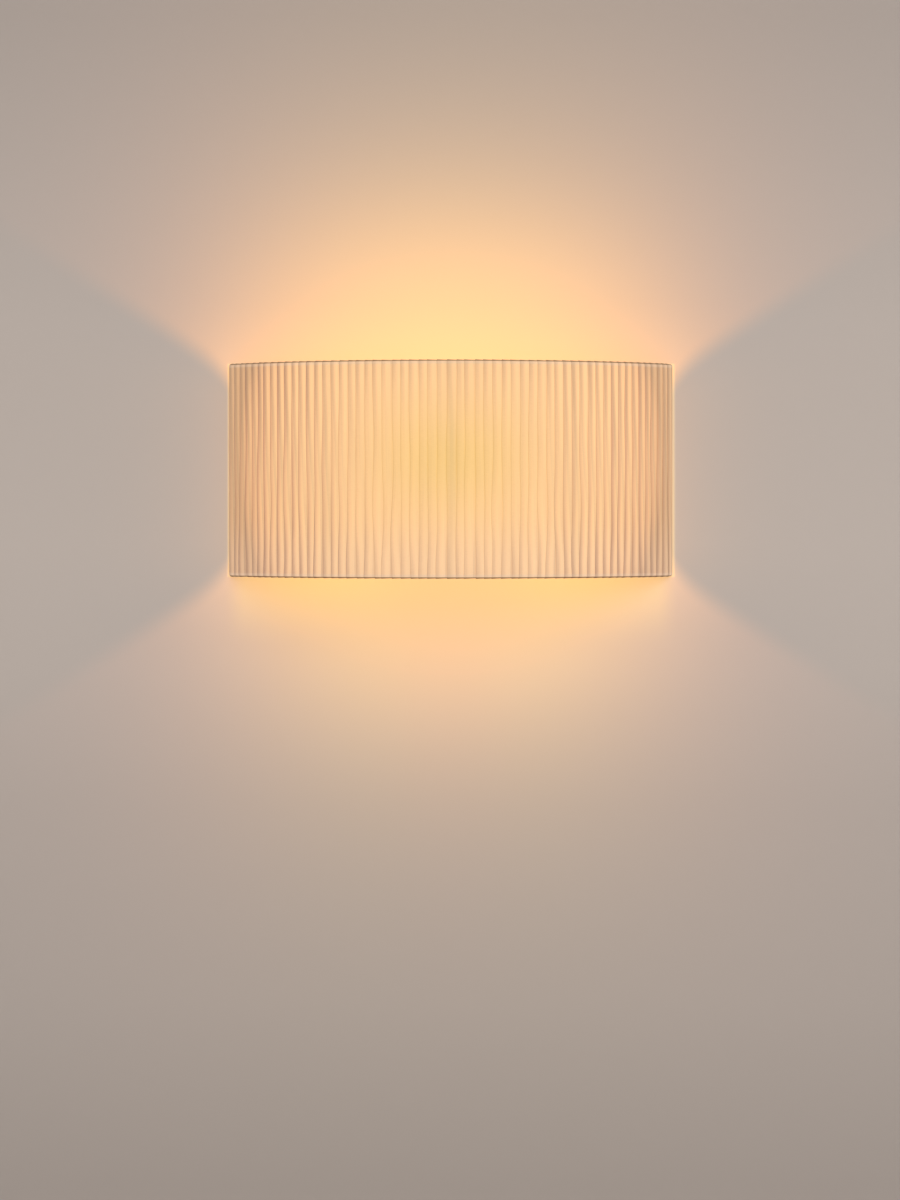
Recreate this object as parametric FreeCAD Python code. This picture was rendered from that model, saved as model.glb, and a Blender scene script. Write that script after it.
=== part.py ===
import FreeCAD, Part
import math
import os

# A half-drum wall light with a shade of overlapped ribbon, in millimetres.
# "out" is a distance from the wall, which is the plane y = 0; +Z is up, and the room is on the -Y side.

# Shade
shade_width = 360.0
shade_height = 173.0
shade_depth = 91.0      # from the wall to the front of the ribbon
wall_gap = 1.2          # from the wall to the shade's back edges
fold_count = 57
fold_rise = 0.5         # how far each turn's edge stands over the turn beside it
ribbon_thick = 0.35
hem_facets = 6          # flats in which the ribbon is creased over a rim wire

# Shade frame
ring_wire_d = 2.4
strut_d = 2.0
strut_bays = 4
back_wire_d = 2.6
wire_fit = 0.1          # ribbon to wire
sleeve_length = 8.0
sleeve_inset = 30.0     # from the shade's side to the bumper sleeve's middle

# Wall bracket
bracket_thick = 1.5
bracket_height = 84.0
bracket_margin = 4.0    # plate beyond each hook arm
bracket_corner = 4.0
hook_spacing = 80.0
hook_width = 12.0
lip_height = 5.0        # hook lip above the saddle that the shade's wire sits in
hook_fit = 0.3          # shade wire to hook
hook_bend = 1.2         # inside radius
slot_spacing = 60.0
slot_length = 12.0
slot_r = 2.5
ear_height = 22.0
ear_reach = 12.0
ear_bend = 1.5

# Canopy that covers the wiring
canopy_depth = 16.0
canopy_height = 100.0
canopy_thick = 1.0
canopy_corner = 8.0
canopy_edge = 3.0
canopy_fit = 0.3        # canopy to bracket ears, hook arms and wall
canopy_screw_r = 2.0
canopy_screw_length = 7.0

# Cable entry and outlet
supply_bore_r = 4.0
bush_wall = 3.0
bush_flange = 2.0
bush_flange_thick = 1.5
bush_z = 24.0
outlet_bore_r = 3.2
grommet_wall = 1.0
grommet_flange = 1.4
grommet_flange_thick = 1.2
outlet_out = 8.0
hole_fit = 0.1

# Terminal block and earth point
pole_pitch = 11.0
pole_r = 3.2
block_length_z = 15.0
block_base = 2.5
block_z = -16.0
sleeve_r = 2.3
sleeve_bore_r = 1.35
terminal_screw_r = 1.3
terminal_screw_z = 4.0
chimney_wall = 1.5
chimney_top = 11.0      # out
block_screw_r = 1.5
block_screw_seat = 7.0  # out
head_ratio = 1.8        # a screw's head to its shank
earth_inset = 18.0      # earth screw from the plate's right edge
earth_edge = 5.5        # and from its lower edge
earth_screw_r = 2.0
washer_thick = 0.8
lug_thick = 0.8
lug_barrel = 6.0
lug_wall = 0.5

# Arm and stem that carry the lampholder
arm_thick = 2.0
arm_width = 18.0
arm_bend = 3.0
arm_top = -16.0
arm_beyond = 12.0       # arm in front of the stem
rivet_r = 1.6
rivet_head_r = 3.2
rivet_head = 1.2
rivet_z = (-26.0, -42.0)
stem_r = 4.95
stem_bore_r = 3.6
stem_fit = 0.05
nut_flats = 14.0
nut_thick = 3.5
stem_washer_thick = 1.0
stem_washer_r = 8.5

# Lampholder
holder_r = 19.5
holder_wall = 1.9
holder_floor = 2.5
wiring_room = 1.5
insert_thick = 6.0
contact_rise = 2.5      # bulb's tip above the insert
contact_gap = 0.3
tip_gap = 0.3           # solder tip to the glass round it
contact_thick = 0.4
contact_width = 5.0
contact_foot = 4.0      # its flat foot, its slope and its flat crest, in turn
contact_slope = 4.0
contact_crest = 4.0
contact_tail = 9.0      # the foot's end from the bulb's axis
screw_shell_wall = 0.45
thread_fit = 0.3        # bulb's cap to the brass screw shell
holder_over_cap = 1.0   # holder's rim above the cap's upper edge
spigot_height = 6.0
holder_fit = 0.3

# Bulb
globe_r = 22.5
bulb_length = 78.0
light_z = 8.0           # middle of the globe
cap_r = 13.2
cap_length = 27.0
cap_wall = 0.4
cap_taper = 1.2         # from the cap's side in to the insulator
cap_lip = 0.2
insulator_height = 6.5
insulator_edge = 1.0
insulator_foot_r = 5.2
tip_r = 4.6
tip_rise = 1.7
glass_thick = 0.8
neck_depth = 3.0        # glass inside the cap
neck_r = 12.6
neck_curve = 6.0
globe_clear = 3.5       # globe to canopy
holder_clear = 4.0      # lampholder to arm

# Wiring
wire_d = 2.0
wire_side = 1.7         # each lamp wire's middle from the stem's middle
wire_drop = 10.0        # the wires' loop below the stem
earth_lead = 7.0        # straight runs out of the block
lamp_lead = 13.0
outlet_lead = 8.0       # and above the outlet

# Sizes that follow from the ones above
half_width = shade_width / 2
sagitta = shade_depth - wall_gap
crest_r = (half_width ** 2 + sagitta ** 2) / (2 * sagitta)
centre_out = shade_depth - crest_r
end_angle = math.asin(half_width / crest_r)
pocket = ring_wire_d / 2 + wire_fit
hem_r = pocket + ribbon_thick + fold_rise
ring_r = crest_r - hem_r
ring_z = shade_height / 2 - hem_r
back_out = wall_gap + back_wire_d / 2
back_z = ring_z - ring_wire_d / 2 - back_wire_d / 2
strut_end_angle = math.acos((back_out - centre_out) / ring_r)

saddle_z = back_z - back_wire_d / 2 - hook_fit
bracket_width = hook_spacing + hook_width + 2 * bracket_margin
canopy_half = bracket_width / 2 + canopy_fit + canopy_thick
earth_x = bracket_width / 2 - earth_inset
earth_z = earth_edge - bracket_height / 2

bulb_out = canopy_depth + max(globe_clear + globe_r, arm_thick + holder_clear + holder_r)
tip_z = light_z + globe_r - bulb_length
cap_top_z = tip_z + cap_length
insert_top = tip_z - contact_rise
insert_bottom = insert_top - insert_thick
holder_bottom = insert_bottom - wiring_room - holder_floor
holder_rim = cap_top_z + holder_over_cap
holder_joint = insert_top + 1.0
insert_r = holder_r - 2 * holder_wall
stem_nut_top = holder_bottom - arm_thick - stem_washer_thick
stem_end = stem_nut_top - nut_thick - 1.0
loop_z = stem_end - wire_drop


def at(x, out, z):
    return FreeCAD.Vector(x, -out, z)


across = at(1, 0, 0)
outward = at(0, 1, 0)
up = at(0, 0, 1)


def rod(start, direction, length, radius):
    return Part.makeCylinder(radius, length, start, direction)


def pipe(start, direction, length, outer, bore):
    return rod(start, direction, length, outer).cut(rod(start, direction, length, bore))


def block(x, out, z):
    """A box between the two values of each of x, out and z."""
    return Part.makeBox(x[1] - x[0], out[1] - out[0], z[1] - z[0], at(x[0], out[1], z[0]))


def outline(place, steps):
    """A closed wire. A step is a point to draw a line to, or a point to arc through with the arc's end."""
    edges, here = [], steps[0]
    for step in steps[1:] + [steps[0]]:
        if isinstance(step[0], tuple):
            through, end = step
            edges.append(Part.Arc(place(here), place(through), place(end)).toShape())
        else:
            end = step
            edges.append(Part.makeLine(place(here), place(end)))
        here = end
    return Part.Wire(edges)


def turned(x, out, steps):
    """A solid turned about the upright axis at x, out, from an outline of (radius, z) steps."""
    face = Part.Face(outline(lambda p: at(x + p[0], out, p[1]), steps))
    return face.revolve(at(x, out, 0), up, 360)


def rounded_path(points, radius=None):
    """Straight runs joined by tangent arcs, as large as the runs allow where no radius is given."""
    edges, start = [], points[0]
    for before, corner, after in zip(points, points[1:], points[2:]):
        back, ahead = before - corner, after - corner
        shorter = min(back.Length, ahead.Length)
        half_turn = (math.pi - back.getAngle(ahead)) / 2
        bend = radius or 0.45 * shorter / math.tan(half_turn)
        back.normalize()
        ahead.normalize()
        reach = bend * math.tan(half_turn)
        middle = (back + ahead).normalize() * (bend / math.cos(half_turn) - bend)
        first, last = corner + back * reach, corner + ahead * reach
        edges.append(Part.makeLine(start, first))
        edges.append(Part.Arc(first, corner + middle, last).toShape())
        start = last
    edges.append(Part.makeLine(start, points[-1]))
    return Part.Wire(edges)


def strip(points, side, width, thick, bend):
    """Sheet folded along points, which run down its middle; side is the direction of its width."""
    run = (points[1] - points[0]).normalize()
    rise = run.cross(side) * (thick / 2)
    reach = side * (width / 2)
    start = points[0]
    corners = [start + reach + rise, start + reach - rise, start - reach - rise, start - reach + rise]
    section = Part.makePolygon(corners + corners[:1])
    return rounded_path(points, bend + thick / 2).makePipeShell([section], True, False)


def insulated_wire(points):
    """A wire along its whole route, with its bends printed."""
    path = rounded_path(points)
    radii = [round(e.Curve.Radius, 1) for e in path.Edges if isinstance(e.Curve, Part.Circle)]
    section = Part.Wire(Part.Circle(points[0], points[1] - points[0], wire_d / 2).toShape())
    solid = path.makePipeShell([section], True, False)
    expected = math.pi * (wire_d / 2) ** 2 * path.Length
    print("wire", round(path.Length, 1), "mm, bends", radii, "volume ratio", round(solid.Volume / expected, 4))
    return solid


def dome(radius, low, high):
    """The point halfway along a round cap whose edge is at radius, low and whose top is at high on the axis."""
    rise = abs(high - low)
    ball = (radius ** 2 + rise ** 2) / (2 * rise)
    half = math.asin(radius / ball) / 2
    drop = ball * (1 - math.cos(half))
    return ball * math.sin(half), high - math.copysign(drop, high - low)


def screw(seat, direction, length, shank_r, head_r, head):
    """A slotted pan-head screw whose head sits on seat and whose shank runs along direction."""
    shoulder = head * 0.6
    steps = [(0, -length), (shank_r, -length), (shank_r, 0), (head_r, 0), (head_r, shoulder)]
    steps.append((dome(head_r, shoulder, head), (0, head)))
    body = Part.Face(outline(lambda p: at(p[0], 0, p[1]), steps)).revolve(at(0, 0, 0), up, 360)
    slot = head_r * 0.22
    body = body.cut(block((-head_r, head_r), (-slot / 2, slot / 2), (head * 0.55, head + 1)))
    body.Placement = FreeCAD.Placement(seat, FreeCAD.Rotation(up, direction * -1))
    return body


def edges_where(shape, test):
    return [e for e in shape.Edges if test(e.BoundBox)]


def slotted(x, z, reach):
    """Cutter for an upright-faced slot whose length runs along X."""
    side = slot_length / 2 - slot_r
    ends = [rod(at(x + s * side, -1, z), outward, reach, slot_r) for s in (-1, 1)]
    middle = block((x - side, x + side), (-1, reach - 1), (z - slot_r, z + slot_r))
    return ends[0].fuse(ends[1]).fuse(middle)


# Shade

def on_arc(angle, radius, z=0.0):
    """A point at an angle from straight out, about the shade's upright axis behind the wall."""
    return at(radius * math.sin(angle), centre_out + radius * math.cos(angle), z)


def ribbon_wall(crest, base, pocket_side):
    """One side of the wound ribbon: each turn's left edge lies over the turn before it."""
    step = 2 * end_angle / fold_count
    folds = []
    for turn in range(fold_count):
        left = turn * step - end_angle
        folds += [on_arc(left, crest, -ring_z), on_arc(left + step, base, -ring_z)]
    first, last = (on_arc(a, pocket_side, -ring_z) for a in (-end_angle, end_angle))
    edges = [Part.makeLine(p, q) for p, q in zip(folds, folds[1:])]
    edges.append(Part.makeLine(folds[-1], last))
    edges.append(Part.Arc(last, on_arc(0, pocket_side, -ring_z), first).toShape())
    edges.append(Part.makeLine(first, folds[0]))
    return Part.Face(Part.Wire(edges)).extrude(up * (2 * ring_z))


def hem(side, pocket_r):
    """The ribbon creased over the upper (side 1) or lower (side -1) rim wire."""
    def half_ring(radius):
        turns = [math.pi * i / hem_facets for i in range(hem_facets + 1)]
        return [on_arc(0, ring_r + radius * math.cos(t), side * (ring_z + radius * math.sin(t))) for t in turns]

    loop = half_ring(hem_r) + half_ring(pocket_r)[::-1]
    face = Part.Face(Part.makePolygon(loop + loop[:1]))
    axis = at(0, centre_out, 0)
    face.rotate(axis, up, -math.degrees(end_angle))
    return face.revolve(axis, up, 2 * math.degrees(end_angle))


def ribbon_shade():
    pocket_r = pocket / math.cos(math.pi / (2 * hem_facets))
    outer = ribbon_wall(crest_r, crest_r - fold_rise, ring_r + pocket_r)
    inner = ribbon_wall(ring_r - hem_r, ring_r - hem_r + fold_rise, ring_r - pocket_r)
    ribbon = outer.multiFuse([inner, hem(1, pocket_r), hem(-1, pocket_r)]).removeSplitter()
    behind = block((-shade_width, shade_width), (-shade_depth, wall_gap), (-shade_height, shade_height))
    notch = back_wire_d / 2 + hook_fit
    ends = ring_r * math.sin(strut_end_angle)
    cuts = [behind]
    for side in (-1, 1):
        z = side * back_z
        cuts.append(block((-ends, ends), (0, back_out + notch), (z - notch, z + notch)))
    return ribbon.cut(cuts)


def rim_wire(side):
    start = on_arc(-strut_end_angle, ring_r, side * ring_z)
    middle = on_arc(0, ring_r, side * ring_z)
    end = on_arc(strut_end_angle, ring_r, side * ring_z)
    path = Part.Wire(Part.Arc(start, middle, end).toShape())
    along = path.Edges[0].tangentAt(path.Edges[0].FirstParameter)
    section = Part.Wire(Part.Circle(start, along, ring_wire_d / 2).toShape())
    return path.makePipeShell([section], True, False)


def strut(angle, rings):
    bar = rod(on_arc(angle, ring_r, -ring_z), up, 2 * ring_z, strut_d / 2)
    return bar.cut(rings)


def back_wire(side):
    reach = ring_r * math.sin(strut_end_angle) - strut_d / 2
    return rod(at(-reach, back_out, side * back_z), across, 2 * reach, back_wire_d / 2)


def bumper_sleeves():
    """Two soft sleeves on the lower back wire, which keep the shade off the wall."""
    middle = half_width - sleeve_inset
    starts = [s * middle - sleeve_length / 2 for s in (-1, 1)]
    return [pipe(at(x, back_out, -back_z), across, sleeve_length, back_out, back_wire_d / 2) for x in starts]


# Wall unit

def wall_bracket():
    plate = block((-bracket_width / 2, bracket_width / 2), (0, bracket_thick),
                  (-bracket_height / 2, bracket_height / 2))
    corners = edges_where(plate, lambda b: b.XLength < 0.01 and b.ZLength < 0.01)
    plate = plate.makeFillet(bracket_corner, corners)
    middle = bracket_thick / 2
    pieces = []
    lip_out = back_out + back_wire_d / 2 + hook_fit + middle
    for side in (-1, 1):
        x = side * hook_spacing / 2
        hook = [at(x, middle, bracket_height / 2 - bracket_corner), at(x, middle, saddle_z - middle),
                at(x, lip_out, saddle_z - middle), at(x, lip_out, saddle_z + lip_height)]
        pieces.append(strip(hook, across, hook_width, bracket_thick, hook_bend))
        edge = side * (bracket_width / 2 - middle)
        ear = [at(edge - side * bracket_corner, middle, 0), at(edge, middle, 0), at(edge, ear_reach, 0)]
        pieces.append(strip(ear, up, ear_height, bracket_thick, ear_bend))
    bracket = plate.multiFuse(pieces).removeSplitter()
    cuts = [slotted(s * slot_spacing / 2, 0, bracket_thick + 2) for s in (-1, 1)]
    cuts.append(rod(at(0, -1, bush_z), outward, bracket_thick + 2, supply_bore_r + bush_wall + hole_fit))
    cuts.append(rod(at(earth_x, -1, earth_z), outward, bracket_thick + 2, earth_screw_r + hole_fit))
    cuts += [rod(at(s * pole_pitch / 2, -1, block_z), outward, bracket_thick + 2, block_screw_r + hole_fit)
             for s in (-1, 1)]
    cuts.append(rod(at(-bracket_width, canopy_depth / 2, 0), across, 2 * bracket_width,
                    canopy_screw_r + hole_fit))
    return bracket.cut(cuts)


def dished(half, height, out, corner, edge):
    """A block with round corners and a round front edge, for one side of the canopy's wall."""
    body = block((-half, half), out, (-height / 2, height / 2))
    corners = edges_where(body, lambda b: b.XLength < 0.01 and b.ZLength < 0.01)
    body = body.makeFillet(corner, corners)
    front = edges_where(body, lambda b: b.YLength < 0.01 and abs(b.YMin + out[1]) < 0.01)
    return body.makeFillet(edge, front)


def canopy():
    outer = dished(canopy_half, canopy_height, (canopy_fit, canopy_depth), canopy_corner, canopy_edge)
    inner = dished(canopy_half - canopy_thick, canopy_height - 2 * canopy_thick,
                   (canopy_fit - 1, canopy_depth - canopy_thick),
                   canopy_corner - canopy_thick, canopy_edge - canopy_thick)
    shell = outer.cut(inner)
    notch = hook_width / 2 + canopy_fit
    cuts = [block((s * hook_spacing / 2 - notch, s * hook_spacing / 2 + notch),
                  (-1, bracket_thick + canopy_fit), (canopy_height / 4, canopy_height)) for s in (-1, 1)]
    cuts.append(rod(at(-2 * canopy_half, canopy_depth / 2, 0), across, 4 * canopy_half,
                    canopy_screw_r + hole_fit))
    cuts.append(rod(at(0, outlet_out, -canopy_height), up, canopy_height * 0.75,
                    outlet_bore_r + grommet_wall + hole_fit))
    cuts += [rod(at(0, canopy_depth / 2, z), outward, canopy_depth, rivet_r + hole_fit) for z in rivet_z]
    return shell.cut(cuts)


def canopy_screws():
    seat = canopy_half
    return [screw(at(s * seat, canopy_depth / 2, 0), across * -s, canopy_screw_length,
                  canopy_screw_r, canopy_screw_r * head_ratio, canopy_screw_r * 1.2) for s in (-1, 1)]


def cable_bush():
    neck = pipe(at(0, 0, bush_z), outward, bracket_thick, supply_bore_r + bush_wall, supply_bore_r)
    flange = pipe(at(0, bracket_thick, bush_z), outward, bush_flange_thick,
                  supply_bore_r + bush_wall + bush_flange, supply_bore_r)
    rim = edges_where(flange, lambda b: b.YLength < 0.01 and b.XLength > 2.1 * (supply_bore_r + bush_wall)
                      and b.YMin < -bracket_thick - bush_flange_thick / 2)
    return neck.fuse(flange.makeFillet(bush_flange_thick * 0.6, rim)).removeSplitter()


def outlet_grommet():
    low, high = -canopy_height / 2, -canopy_height / 2 + canopy_thick
    neck = outlet_bore_r + grommet_wall
    edge = neck + grommet_flange
    bulge = grommet_flange_thick / 2
    steps = [(outlet_bore_r, low - grommet_flange_thick), (edge - bulge, low - grommet_flange_thick),
             ((edge, low - bulge), (edge - bulge, low)), (neck, low), (neck, high), (edge - bulge, high),
             ((edge, high + bulge), (edge - bulge, high + grommet_flange_thick)),
             (outlet_bore_r, high + grommet_flange_thick)]
    return turned(0, outlet_out, steps)


barrel_out = bracket_thick + block_base + pole_r
pole_xs = [pole_pitch * n for n in (-1, 0, 1)]
wire_entry_z = block_z - block_length_z / 2 + 5     # where a wire's end lies in its sleeve
screw_zs = [block_z + s * terminal_screw_z for s in (-1, 1)]


def terminal_block():
    """Three poles side by side, each a barrel with a chimney over each of its two screws."""
    half = block_length_z / 2
    side = pole_pitch + pole_r + 1
    body = block((-side, side), (bracket_thick, bracket_thick + block_base + pole_r * 0.5),
                 (block_z - half + 1, block_z + half - 1))
    towers = [rod(at(s * pole_pitch / 2, bracket_thick, block_z), outward,
                  block_screw_seat - bracket_thick, block_screw_r + chimney_wall) for s in (-1, 1)]
    bores = [rod(at(s * pole_pitch / 2, 0, block_z), outward, chimney_top, block_screw_r + hole_fit)
             for s in (-1, 1)]
    bores += [rod(at(s * pole_pitch / 2, block_screw_seat, block_z), outward, chimney_top,
                  block_screw_r * head_ratio + hole_fit) for s in (-1, 1)]
    for x in pole_xs:
        towers.append(rod(at(x, barrel_out, block_z - half), up, block_length_z, pole_r))
        bores.append(rod(at(x, barrel_out, block_z - half - 1), up, block_length_z + 2, sleeve_r + hole_fit))
        for z in screw_zs:
            towers.append(rod(at(x, barrel_out, z), outward, chimney_top - barrel_out,
                              terminal_screw_r + chimney_wall))
            bores.append(rod(at(x, barrel_out, z), outward, chimney_top, terminal_screw_r + 2 * hole_fit))
    return body.multiFuse(towers).removeSplitter().cut(bores)


def terminal_sleeves():
    length = block_length_z - 2
    sleeves = []
    for x in pole_xs:
        sleeve = pipe(at(x, barrel_out, block_z - length / 2), up, length, sleeve_r, sleeve_bore_r)
        holes = [rod(at(x, barrel_out, z), outward, 2 * sleeve_r, terminal_screw_r + hole_fit / 2)
                 for z in screw_zs]
        sleeves.append(sleeve.cut(holes))
    return sleeves


def terminal_screws():
    """Grub screws that clamp each wire in its sleeve."""
    bottom = barrel_out + wire_d / 2 + hole_fit
    length = chimney_top - 1.0 - bottom
    screws = []
    for x in pole_xs:
        for z in screw_zs:
            grub = rod(at(x, bottom, z), outward, length, terminal_screw_r)
            slot = block((x - 0.25, x + 0.25), (bottom + length - 1.0, bottom + length + 1), (z - 2, z + 2))
            screws.append(grub.cut(slot))
    return screws


def block_screws():
    return [screw(at(s * pole_pitch / 2, block_screw_seat, block_z), outward * -1,
                  block_screw_seat - hook_fit, block_screw_r, block_screw_r * head_ratio, block_screw_r * 1.2)
            for s in (-1, 1)]


lug_out = bracket_thick + washer_thick
lug_barrel_r = wire_d / 2 + hole_fit + lug_wall
lug_barrel_out = lug_out + lug_barrel_r
lug_start = earth_x - 2 * earth_screw_r - lug_barrel


def earth_washer():
    return pipe(at(earth_x, bracket_thick, earth_z), outward, washer_thick, earth_screw_r * 2.1,
                earth_screw_r + hole_fit)


def earth_lug():
    ring = rod(at(earth_x, lug_out, earth_z), outward, lug_thick, earth_screw_r * 2)
    tongue = block((lug_start + lug_barrel - 1, earth_x), (lug_out, lug_out + lug_thick),
                   (earth_z - earth_screw_r, earth_z + earth_screw_r))
    barrel = rod(at(lug_start, lug_barrel_out, earth_z), across, lug_barrel, lug_barrel_r)
    bores = [rod(at(earth_x, 0, earth_z), outward, canopy_depth, earth_screw_r + hole_fit),
             rod(at(lug_start - 1, lug_barrel_out, earth_z), across, lug_barrel + 2, wire_d / 2 + hole_fit)]
    return ring.fuse(tongue).fuse(barrel).cut(bores).removeSplitter()


def earth_screw():
    seat = lug_out + lug_thick
    return screw(at(earth_x, seat, earth_z), outward * -1, seat - hook_fit, earth_screw_r,
                 earth_screw_r * head_ratio, earth_screw_r * 1.2)


def earth_wire():
    return insulated_wire([at(pole_pitch, barrel_out, wire_entry_z),
                           at(pole_pitch, barrel_out, wire_entry_z - earth_lead),
                           at(pole_pitch, lug_barrel_out, earth_z),
                           at(lug_start + lug_barrel - 1, lug_barrel_out, earth_z)])


def lamp_wire(pole, side):
    """Pole to lampholder: down through the outlet, under the arm and up the stem."""
    x = side * wire_side
    outlet_z = -canopy_height / 2
    return insulated_wire([at(pole, barrel_out, wire_entry_z), at(pole, barrel_out, wire_entry_z - lamp_lead),
                           at(x, outlet_out, outlet_z + outlet_lead), at(x, outlet_out, loop_z),
                           at(x, bulb_out, loop_z), at(x, bulb_out, insert_bottom + insert_thick / 2)])


def lamp_arm():
    middle = arm_thick / 2
    level = holder_bottom - middle
    points = [at(0, canopy_depth + middle, arm_top), at(0, canopy_depth + middle, level),
              at(0, bulb_out + arm_beyond, level)]
    arm = strip(points, across, arm_width, arm_thick, arm_bend)
    tip = edges_where(arm, lambda b: b.XLength < 0.01 and b.YLength < 0.01
                      and abs(b.YMin + bulb_out + arm_beyond) < 0.01)
    top = edges_where(arm, lambda b: b.XLength < 0.01 and b.ZLength < 0.01 and abs(b.ZMin - arm_top) < 0.01)
    arm = arm.makeFillet(arm_width * 0.35, tip + top)
    cuts = [rod(at(0, canopy_depth - 1, z), outward, arm_thick + 2, rivet_r + hole_fit) for z in rivet_z]
    cuts.append(rod(at(0, bulb_out, level - arm_thick), up, 2 * arm_thick, stem_r + stem_fit))
    return arm.cut(cuts)


def arm_rivets():
    """Two blind rivets through the arm and the canopy."""
    inside, outside = canopy_depth - canopy_thick, canopy_depth + arm_thick
    tail = rivet_r * 1.5
    steps = [(0, inside - rivet_head), (tail, inside - rivet_head), (tail, inside), (rivet_r, inside),
             (rivet_r, outside), (rivet_head_r, outside),
             (dome(rivet_head_r, outside, outside + rivet_head), (0, outside + rivet_head))]
    rivets = []
    for z in rivet_z:
        face = Part.Face(outline(lambda p: at(p[0], p[1], z), steps))
        rivets.append(face.revolve(at(0, 0, z), outward, 360))
    return rivets


def stem():
    top = holder_bottom + holder_floor + wiring_room / 2
    return pipe(at(0, bulb_out, stem_end), up, top - stem_end, stem_r, stem_bore_r)


def stem_washer():
    return pipe(at(0, bulb_out, stem_nut_top), up, stem_washer_thick, stem_washer_r, stem_r + stem_fit)


def stem_nut():
    corner = nut_flats / 2 / math.cos(math.pi / 6)
    turns = [math.radians(60 * i) for i in range(7)]
    low = stem_nut_top - nut_thick
    loop = [at(corner * math.cos(t), bulb_out + corner * math.sin(t), low) for t in turns]
    hexagon = Part.Face(Part.makePolygon(loop)).extrude(up * nut_thick)
    lowered = (corner - nut_flats / 2) * 0.58
    barrel = turned(0, bulb_out, [(0, low), (nut_flats / 2, low), (corner, low + lowered),
                                  (corner, low + nut_thick), (0, low + nut_thick)])
    bore = rod(at(0, bulb_out, low - 1), up, nut_thick + 2, stem_r + stem_fit)
    return hexagon.common(barrel).cut(bore)


def holder_base():
    spigot = holder_r - holder_wall
    foot = holder_r * 0.78
    steps = [(stem_r + stem_fit, holder_bottom), (foot, holder_bottom),
             ((holder_r - 1.2, holder_bottom + 2.2), (holder_r, holder_bottom + 6.0)),
             (holder_r, holder_joint), (spigot, holder_joint), (spigot, holder_joint + spigot_height),
             (insert_r + holder_fit, holder_joint + spigot_height), (insert_r + holder_fit, insert_bottom),
             (insert_r * 0.75, insert_bottom), (insert_r * 0.75, holder_bottom + holder_floor),
             (stem_r + stem_fit, holder_bottom + holder_floor)]
    return turned(0, bulb_out, steps)


def holder_insert():
    disc = rod(at(0, bulb_out, insert_bottom), up, insert_thick, insert_r)
    holes = [rod(at(s * wire_side, bulb_out, insert_bottom), up, insert_thick * 0.6, wire_d / 2 + hole_fit)
             for s in (-1, 1)]
    return disc.cut(holes)


def holder_shell():
    """The screwed-on upper barrel, with a bead round its rim."""
    bore = cap_r + thread_fit + screw_shell_wall + holder_fit
    socket = holder_r - holder_wall + holder_fit
    shoulder = holder_joint + spigot_height + holder_fit
    neck = holder_r - 0.9
    steps = [(socket, holder_joint), (holder_r, holder_joint), (holder_r, shoulder),
             ((holder_r - 0.3, shoulder + 1.5), (neck, shoulder + 2.5)), (neck, holder_rim - 2.6),
             (holder_r - 0.2, holder_rim - 1.6), ((holder_r - 0.4, holder_rim - 0.4), (neck - 0.6, holder_rim)),
             (bore, holder_rim), (bore, shoulder), (socket, shoulder)]
    return turned(0, bulb_out, steps)


def screw_shell():
    inner = cap_r + thread_fit
    return pipe(at(0, bulb_out, insert_top), up, cap_top_z - 2.0 - insert_top, inner + screw_shell_wall, inner)


def centre_contact():
    low = insert_top + contact_thick / 2
    high = tip_z - contact_gap - contact_thick / 2
    foot = contact_foot - contact_tail
    crest = foot + contact_slope
    points = [at(-contact_tail, bulb_out, low), at(foot, bulb_out, low), at(crest, bulb_out, high),
              at(crest + contact_crest, bulb_out, high)]
    return strip(points, outward, contact_width, contact_thick, contact_thick * 2)


# Bulb

cap_seat = tip_z + tip_rise
insulator_top = tip_z + insulator_height
insulator_r = cap_r - cap_wall - cap_taper


def cap_contact():
    return turned(0, bulb_out, [(0, cap_seat), (0, tip_z), (dome(tip_r, cap_seat, tip_z), (tip_r, cap_seat))])


def cap_insulator():
    low = cap_seat + tip_gap
    shoulder = insulator_top - insulator_edge
    return turned(0, bulb_out, [(0, low), (insulator_foot_r, low), (insulator_r, shoulder),
                                (insulator_r, insulator_top), (0, insulator_top)])


def bulb_cap():
    """A sleeve with a turned-out upper lip, drawn in over the insulator's edge."""
    inner = cap_r - cap_wall
    steps = [(insulator_r, insulator_top - insulator_edge), (cap_r, insulator_top + cap_taper),
             (cap_r, cap_top_z - 1.5), (cap_r + cap_lip, cap_top_z), (inner, cap_top_z),
             (inner, insulator_top + cap_taper + cap_wall / 2), (insulator_r, insulator_top)]
    return turned(0, bulb_out, steps)


def bulb_globe():
    """Blown glass: a ball that sweeps into a straight neck, which is cemented into the cap."""
    def side(inset):
        ball, curve, neck = globe_r - inset, neck_curve + inset, neck_r - inset
        middle_r = neck + curve
        drop = math.sqrt((ball + curve) ** 2 - middle_r ** 2)
        share = ball / (ball + curve)
        join = (middle_r * share, light_z - drop * share)
        ease = math.atan2(drop, middle_r) / 2
        through = (middle_r - curve * math.cos(ease), light_z - drop + curve * math.sin(ease))
        equator = (ball, light_z)
        return neck, light_z - drop, join, through, equator, ball

    low = cap_top_z - neck_depth
    neck, turn_z, join, through, equator, ball = side(0.0)
    outer = [(neck, low), (neck, turn_z), (through, join), (equator, (0, light_z + ball))]
    neck, turn_z, join, through, equator, ball = side(glass_thick)
    inner = [(0, light_z + ball), (equator, join), (through, (neck, turn_z)), (neck, low)]
    return turned(0, bulb_out, outer + inner)


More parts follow.
